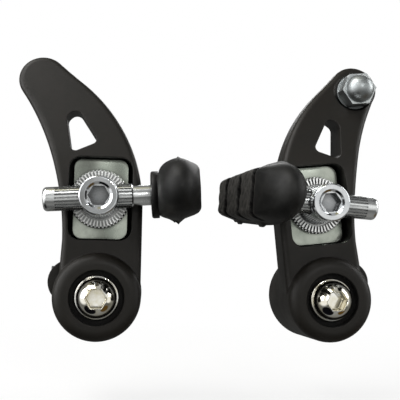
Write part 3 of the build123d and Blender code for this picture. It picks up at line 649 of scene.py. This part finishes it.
# %% [markdown]
# ## Domed bolt heads
#
# Each arm turns on a chromed bolt. Its dome mirrors the whole room in a ring a few millimetres wide, so
# the curve of the dome decides how it looks. The bolt is therefore turned here: a profile goes round the
# axis, up the shank, over the flange, and along an ellipse to the mouth of the key socket. Near the mouth
# the rings change from circles to the hexagon of the key, so that the dome runs into the socket.

# %% Profile of a pivot bolt
shank_end, bolt_seat, flange_front, dome_height = 10.7, 21.7, 23.2, 6.0
shank_radius, flange_radius, dome_radius, mouth_radius = 3.0, 6.0, 5.5, 3.4
key_apothem, socket_floor, flange_rounding = 2.5, 24.4, 0.4
lip_width, lip_inner, lip_drop, lip_depth = 0.22, 0.07, 0.03, 0.2
floor_share, floor_cone = 0.9, 0.2
round_bolt = np.linspace(0, 2 * np.pi, 96, endpoint=False)


def dome_front(radius):
    """How far forward the dome is at a radius: the flange's front plus the height of an ellipse there."""
    return flange_front + dome_height * np.sqrt(1 - (radius / dome_radius) ** 2)


def bolt_rings():
    """(radius, forward) of each ring from the shank's end to the socket's floor. The hexagon's radius is
    its apothem over the cosine of the angle from the middle of a side. The last rings are the lip of the
    socket in two steps, the foot of its walls, and a shallow cone in its floor."""
    bend = np.linspace(0, quarter_turn, 6)
    edge = flange_radius - flange_rounding
    radius = np.concatenate(
        [[shank_radius, shank_radius, flange_radius], edge + flange_rounding * np.cos(bend), [dome_radius]]
    )
    forward = np.concatenate(
        [
            [shank_end, bolt_seat, bolt_seat],
            flange_front - flange_rounding + flange_rounding * np.sin(bend),
            [flange_front],
        ]
    )
    turn = np.linspace(0, np.arccos(mouth_radius / dome_radius), 16)[1:]
    radius = np.concatenate([radius, dome_radius * np.cos(turn)])[:, None] + 0 * round_bolt
    forward = np.concatenate([forward, dome_front(dome_radius * np.cos(turn))])[:, None] + 0 * round_bolt
    hexagon = key_apothem / np.cos(round_bolt % (np.pi / 3) - np.pi / 6)
    share = np.linspace(0, 1, 6)[1:, None]
    mouth = mouth_radius + share * (hexagon + lip_width - mouth_radius)
    socket = np.stack([hexagon + lip_inner, hexagon, hexagon, floor_share * hexagon])
    foot = np.full_like(hexagon, socket_floor)
    lip_front = (dome_front(socket[0]) - lip_drop, dome_front(socket[1]) - lip_depth)
    socket_front = np.stack([*lip_front, foot, foot - floor_cone])
    return np.vstack([radius, mouth, socket]), np.vstack([forward, dome_front(mouth), socket_front])


ring_radius, ring_forward = bolt_rings()
print("bolt of", ring_radius.shape, "points; front at", round(ring_forward.max(), 2), "mm")

# %% [markdown]
# The left arm is photographed upright and the right one swung in by a few degrees, and each bolt's hexagon
# stands square to its arm. Smooth shading stops at the corners of the hexagon and under the flange, where
# faces meet at more than 35 degrees.

# %% Place both bolts
pivot_side = 32.65
right_swing, sharp_angle = radians(6.3), radians(35)
for name, side, swing in (("left", -1, 0.0), ("right", 1, right_swing)):
    across = np.array((cos(swing), 0, sin(swing)))
    upward = np.array((-sin(swing), 0, cos(swing)))
    points = (
        np.array((side * pivot_side, 0, 0))
        + (ring_radius * np.cos(round_bolt))[..., None] * across
        + (ring_radius * np.sin(round_bolt))[..., None] * upward
        + ring_forward[..., None] * np.array((0, -1, 0))
    )
    points, faces = closed_tube(points, False)
    bolt_mesh = bpy.data.meshes.new(f"{name}_domed_bolt")
    bolt_mesh.from_pydata((points * MM).tolist(), [], faces)
    bolt_mesh.polygons.foreach_set("use_smooth", np.ones(len(faces), bool))
    bolt_mesh.set_sharp_from_angle(angle=sharp_angle)
    bolt_mesh.materials.append(mirror_chrome)
    bolt = bpy.data.objects.new(f"{name}_domed_bolt", bolt_mesh)
    bpy.context.scene.collection.objects.link(bolt)
    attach(bolt, "pivots")
    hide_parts(f"{name}_pivot_bolt")
    print(name, "bolt:", len(faces), "faces")

# %% [markdown]
# ## Finishes on the CAD parts
#
# The CAD parts keep their shapes. Each takes the finish of its kind, found by the last words of its name,
# so that left and right are dressed alike.

# %% Dress the CAD parts
finish_of = {
    "arm": moulded_nylon,
    "pivot_sleeve": ground_steel,
    "pivot_bolt": mirror_chrome,
    "return_spring": spring_wire,
    "spring_cover": cover_nylon,
    "spring_screw": spring_wire,
    "slot_plate": chalky_zinc,
    "toe_washer": toothed_zinc,
    "eyebolt": bright_zinc,
    "rear_washer": bright_zinc,
    "clamp_nut": bright_zinc,
    "pad_post": splined_zinc,
    "brake_pad": worn_rubber,
    "anchor_bolt": satin_zinc,
    "anchor_washer": satin_zinc,
    "acorn_nut": satin_zinc,
}
for name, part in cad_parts.items():
    finish = finish_of[name.split("_", 1)[1]]
    for slot in part.material_slots:
        slot.material = finish
    part.data.materials[0] = finish
print("dressed", len(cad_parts), "parts")

# %% [markdown]
# ## Floor
#
# The brake is shown as if its bosses held it, a little above a plain pale floor. The floor is paper, white
# to the camera and pale grey to the parts, so that little light comes back from it under the bosses. To
# the camera it also glows, more so further out, so that it runs into the white background without a
# horizon. Under the brake enough of the paper is left to keep the soft shadow. A mirrored ray goes
# through it, so that metal shows the background below the brake as it does above.

# %% Floor
floor_drop, floor_half = 0.03, 1.5
glow_from, glow_to, near_glow = 0.05, 0.2, 0.78
fibre_mm = 1.0
floor_corners = floor_half * np.array([(-1, -1, 0), (1, -1, 0), (1, 1, 0), (-1, 1, 0)], float)
floor_corners[:, 2] = -floor_drop
floor_mesh = bpy.data.meshes.new("floor")
floor_mesh.from_pydata(floor_corners.tolist(), [], [(0, 1, 2, 3)])
floor = bpy.data.objects.new("floor", floor_mesh)
bpy.context.scene.collection.objects.link(floor)


def make_paper(name):
    """Paper that a mirrored ray goes through. For the camera it is mixed with white light, most of it
    light near the brake and all of it far off."""
    material, tree, where, rounded = start_material(name, edge_mm=0.5)
    rays = add_node(tree, "ShaderNodeLightPath")
    seen = rays["Is Camera Ray"]
    fibres = patches(tree, where, fibre_mm, 0.3, 0.7, detail=3.0)
    white = add_node(tree, *colour_mix, Factor=fibres, in_6="#f6f6f5", in_7="#fafaf9")[2]
    paper = add_node(
        tree,
        "ShaderNodeBsdfPrincipled",
        Base_Color=add_node(tree, *colour_mix, Factor=seen, in_6="#a3a3a1", in_7=white)[2],
        Roughness=0.9,
        Normal=rounded,
    )[0]
    glow = add_node(tree, "ShaderNodeEmission", Color="#ffffff", Strength=1.0)[0]
    far = add_node(tree, "ShaderNodeVectorMath", {"operation": "LENGTH"}, in_0=where)["Value"]
    share = add_node(
        tree,
        "ShaderNodeMapRange",
        Value=far,
        From_Min=glow_from,
        From_Max=glow_to,
        To_Min=near_glow,
        To_Max=1.0,
    )[0]
    factor = add_node(tree, "ShaderNodeMath", {"operation": "MULTIPLY"}, in_0=seen, in_1=share)[0]
    sheet = add_node(tree, "ShaderNodeMixShader", in_0=factor, in_1=paper, in_2=glow)[0]
    clear = add_node(tree, "ShaderNodeBsdfTransparent")[0]
    shader = add_node(tree, "ShaderNodeMixShader", in_0=rays["Is Glossy Ray"], in_1=sheet, in_2=clear)[0]
    add_node(tree, "ShaderNodeOutputMaterial", Surface=shader)
    return material


floor_mesh.materials.append(make_paper("white paper"))
print("floor", round(floor_drop * 1000), "mm below the pivots")

# %% [markdown]
# ## Light
#
# Black nylon is read by its highlights. A wide lamp hangs above and a little to the left, a tall one stands
# on each side, and all are far enough round that the flat faces stay dark while the rounded edges catch
# them. Two weak ones in front give the pads, the heads and the boss faces a highlight each, and one
# behind keeps the back readable.

# %% Lamps
brake_middle = Vector((0, 0, 30.0)) * MM


def add_lamp(name, at_mm, size_mm, power):
    """A rectangular area lamp at a place, turned to face the middle of the brake."""
    lamp = bpy.data.lights.new(name, "AREA")
    lamp.shape = "RECTANGLE"
    lamp.size, lamp.size_y = (value * MM for value in size_mm)
    lamp.energy = power
    holder = bpy.data.objects.new(name, lamp)
    place = Vector(at_mm) * MM
    aim = brake_middle - place
    holder.matrix_world = Matrix.Translation(place) @ aim.to_track_quat("-Z", "Y").to_matrix().to_4x4()
    bpy.context.scene.collection.objects.link(holder)


add_lamp("top softbox", (-260, -140, 460), (420, 240), 1.8)
add_lamp("left softbox", (-500, -60, 180), (220, 380), 1.1)
add_lamp("right softbox", (460, -40, 240), (160, 340), 0.8)
add_lamp("front softbox", (-400, -350, 190), (140, 300), 0.32)
add_lamp("front strip", (60, -430, 170), (60, 12), 0.25)
add_lamp("rear softbox", (180, 430, 300), (420, 240), 1.0)
print("lamps placed")

# %% [markdown]
# The world is white to the camera. Shiny parts mirror that white background too, as a band in front of the
# brake and at its sides, with grey above, below and behind it, and with a few cards. Without something dark
# to mirror, chrome would look like white paint. A card is a patch of directions: the dot of the direction
# with the card's own says how near they are. To everything but a mirrored ray the same studio is less than
# half as bright, so that it fills the shadows and no more.

# %% World
world = bpy.data.worlds.new("studio")
bpy.context.scene.world = world
world.use_nodes = True
sky = world.node_tree
sky.nodes.clear()
direction = add_node(sky, "ShaderNodeTexCoord")["Generated"]
parts_of = add_node(sky, "ShaderNodeSeparateXYZ", Vector=direction)
upness = add_node(sky, "ShaderNodeMapRange", Value=parts_of["Z"], From_Min=-1.0, From_Max=1.0)[0]
bands = add_node(sky, "ShaderNodeValToRGB", Fac=upness)[0]
ramp = bands.node.color_ramp
steps = (
    (0.0, "#8c8c8a"),
    (0.3, "#5a5a58"),
    (0.46, "#f2f2f0"),
    (0.62, "#f6f6f4"),
    (0.8, "#6a6a68"),
    (1.0, "#c0c0c0"),
)
ramp.elements[1].position = 1.0
for position, _ in steps[1:-1]:
    ramp.elements.new(position)
for element, (_, grey) in zip(ramp.elements, steps):
    element.color = linear(grey)
behind = add_node(sky, "ShaderNodeMapRange", Value=parts_of["Y"], From_Min=-0.1, From_Max=0.35)[0]
studio = add_node(sky, *colour_mix, Factor=behind, in_6=bands, in_7="#747472")[2]
# direction, dot where the card begins, dot where it is full, colour
cards = (
    ((-0.17, -0.98, 0.08), 0.975, 0.993, "#666664"),
    ((-0.62, -0.72, 0.22), 0.93, 0.97, "#ffffff"),
    ((-0.95, -0.25, 0.10), 0.78, 0.88, "#ffffff"),
    ((0.97, -0.22, -0.08), 0.95, 0.97, "#ffffff"),
    ((-0.35, -0.10, 0.93), 0.90, 0.95, "#a39d78"),
    ((0.66, -0.15, 0.74), 0.92, 0.94, "#0c0c0d"),
    ((-0.45, -0.12, -0.89), 0.88, 0.90, "#0b0b0e"),
    ((0.62, -0.12, -0.78), 0.94, 0.96, "#54401f"),
)
for card_way, outer, inner, card_colour in cards:
    near = add_node(
        sky,
        "ShaderNodeVectorMath",
        {"operation": "DOT_PRODUCT"},
        in_0=direction,
        in_1=Vector(card_way).normalized(),
    )["Value"]
    on_card = add_node(sky, "ShaderNodeMapRange", Value=near, From_Min=outer, From_Max=inner)[0]
    studio = add_node(sky, *colour_mix, Factor=on_card, in_6=studio, in_7=card_colour)[2]
rays = add_node(sky, "ShaderNodeLightPath")
level = add_node(sky, "ShaderNodeMapRange", Value=rays["Is Glossy Ray"], To_Min=0.45, To_Max=1.0)[0]
soft = add_node(sky, "ShaderNodeBackground", Color=studio, Strength=level)[0]
white = add_node(sky, "ShaderNodeBackground", Color="#ffffff", Strength=1.0)[0]
both = add_node(sky, "ShaderNodeMixShader", in_0=rays["Is Camera Ray"], in_1=soft, in_2=white)[0]
add_node(sky, "ShaderNodeOutputWorld", Surface=both)
print("studio with", len(cards), "cards")

# %% [markdown]
# ## Camera
#
# The photograph was taken from a little left of the middle and a little below it, fairly close. Its place
# was worked out from the pivots, posts and horns that the picture shows: the lens is 61.5 mm on a 36 mm
# frame, and the camera is rolled by about a degree.

# %% Camera
camera_azimuth, camera_elevation, camera_roll = radians(-6.85), radians(-4.0), radians(1.1)
camera_distance, looked_at = 195.0, Vector((-4.38, -17.0, 27.53))
focal_pixels, image_width, sensor_mm = 683.2, 400, 36.0
backwards = Vector(
    (
        sin(camera_azimuth) * cos(camera_elevation),
        -cos(camera_azimuth) * cos(camera_elevation),
        sin(camera_elevation),
    )
)
camera_data = bpy.data.cameras.new("photo camera")
camera_data.sensor_width = sensor_mm
camera_data.lens = sensor_mm * focal_pixels / image_width
camera_data.clip_start = 0.005
camera = bpy.data.objects.new("photo camera", camera_data)
place = (backwards * camera_distance + looked_at) * MM
turn = backwards.to_track_quat("Z", "Y").to_matrix().to_4x4() @ Matrix.Rotation(camera_roll, 4, "Z")
camera.matrix_world = Matrix.Translation(place) @ turn
bpy.context.scene.collection.objects.link(camera)
bpy.context.scene.camera = camera
bpy.context.scene.view_settings.view_transform = "Standard"
print("camera at", [round(v * 1000, 1) for v in place], "mm")
